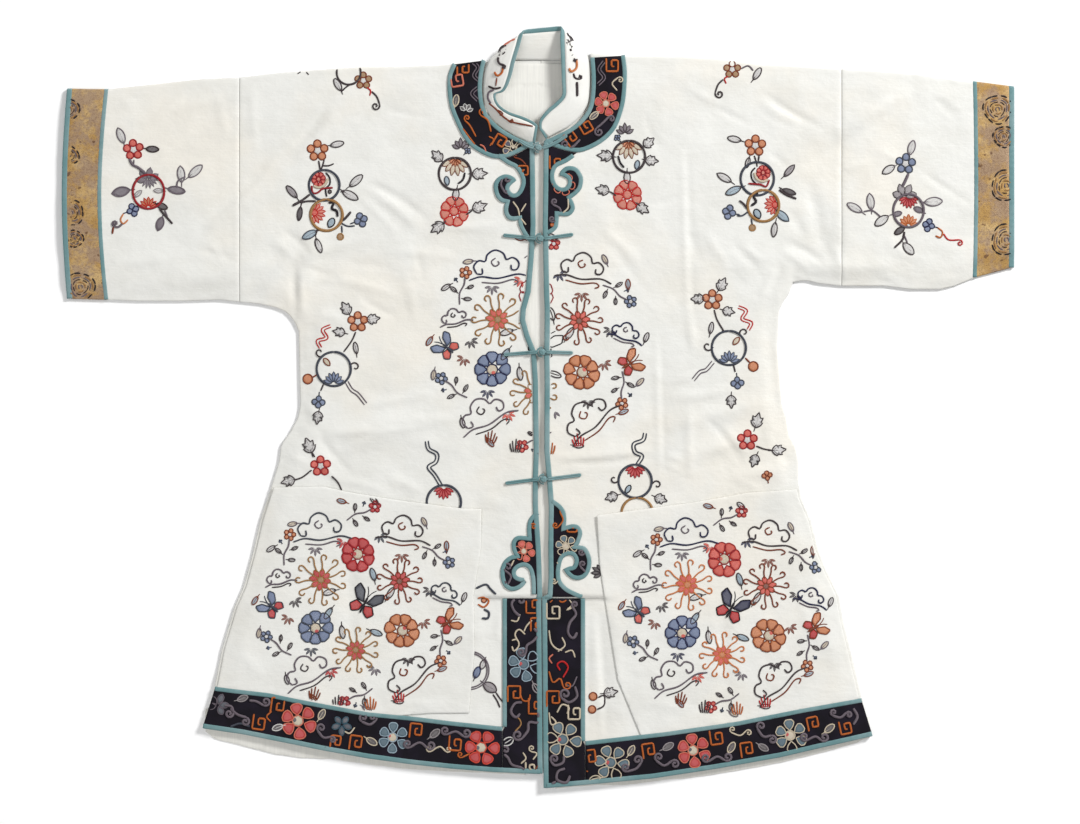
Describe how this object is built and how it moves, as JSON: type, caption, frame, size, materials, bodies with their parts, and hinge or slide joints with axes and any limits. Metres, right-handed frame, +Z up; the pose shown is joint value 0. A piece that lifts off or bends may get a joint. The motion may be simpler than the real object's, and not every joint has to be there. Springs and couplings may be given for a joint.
{
  "type": "embroidered silk jacket laid flat",
  "caption": "Wide-sleeved Chinese silk jacket laid flat, with stand collar, bound black bands, brocade cuffs, two patch pockets and four frog closures.",
  "frame": {"origin": "middle of the underside's box, on the surface that the jacket lies on", "axes": "+Z up from the surface, +Y towards the collar, +X towards the wearer's left sleeve"},
  "size_m": [1.142, 0.914, 0.0181],
  "materials": {
    "silk": "silk satin, embroidered",
    "lining": "plain silk",
    "binding": "satin bias binding",
    "band": "black satin, embroidered",
    "brocade": "gold silk brocade"
  },
  "bodies": {
    "root": {"body_right_front_to_back": "silk", "sleeve_right": "silk", "cuff_seam_binding_right": "binding", "cuff_right": "brocade", "cuff_edge_binding_right": "binding", "neck_band_right": "band", "neck_band_outer_binding_right": "binding", "neck_band_seam_binding_right": "binding", "front_edge_binding_right": "binding", "hem_edge_binding_right": "binding", "cloud_head_upper_right": "band", "cloud_head_upper_binding_right": "binding", "cloud_head_lower_right": "band", "cloud_head_lower_binding_right": "binding", "front_band_right": "band", "front_band_binding_right": "binding", "hem_band_right": "band", "hem_band_upper_binding_right": "binding", "pocket_right": "silk", "lining_hem_right": "lining", "body_left_front_to_back": "silk", "sleeve_left": "silk", "cuff_seam_binding_left": "binding", "cuff_left": "brocade", "cuff_edge_binding_left": "binding", "neck_band_left": "band", "neck_band_outer_binding_left": "binding", "neck_band_seam_binding_left": "binding", "front_edge_binding_left": "binding", "hem_edge_binding_left": "binding", "cloud_head_upper_left": "band", "cloud_head_upper_binding_left": "binding", "cloud_head_lower_left": "band", "cloud_head_lower_binding_left": "binding", "front_band_left": "band", "front_band_binding_left": "binding", "hem_band_left": "band", "hem_band_upper_binding_left": "binding", "pocket_left": "silk", "lining_hem_left": "lining", "lining_back": "lining", "stand_collar": "silk", "collar_binding": "binding", "frog_neck_loop": "binding", "frog_neck_knot": "binding", "frog_chest_loop": "binding", "frog_chest_knot": "binding", "frog_waist_loop": "binding", "frog_waist_knot": "binding", "frog_hip_loop": "binding", "frog_hip_knot": "binding"}
  },
  "joints": []
}
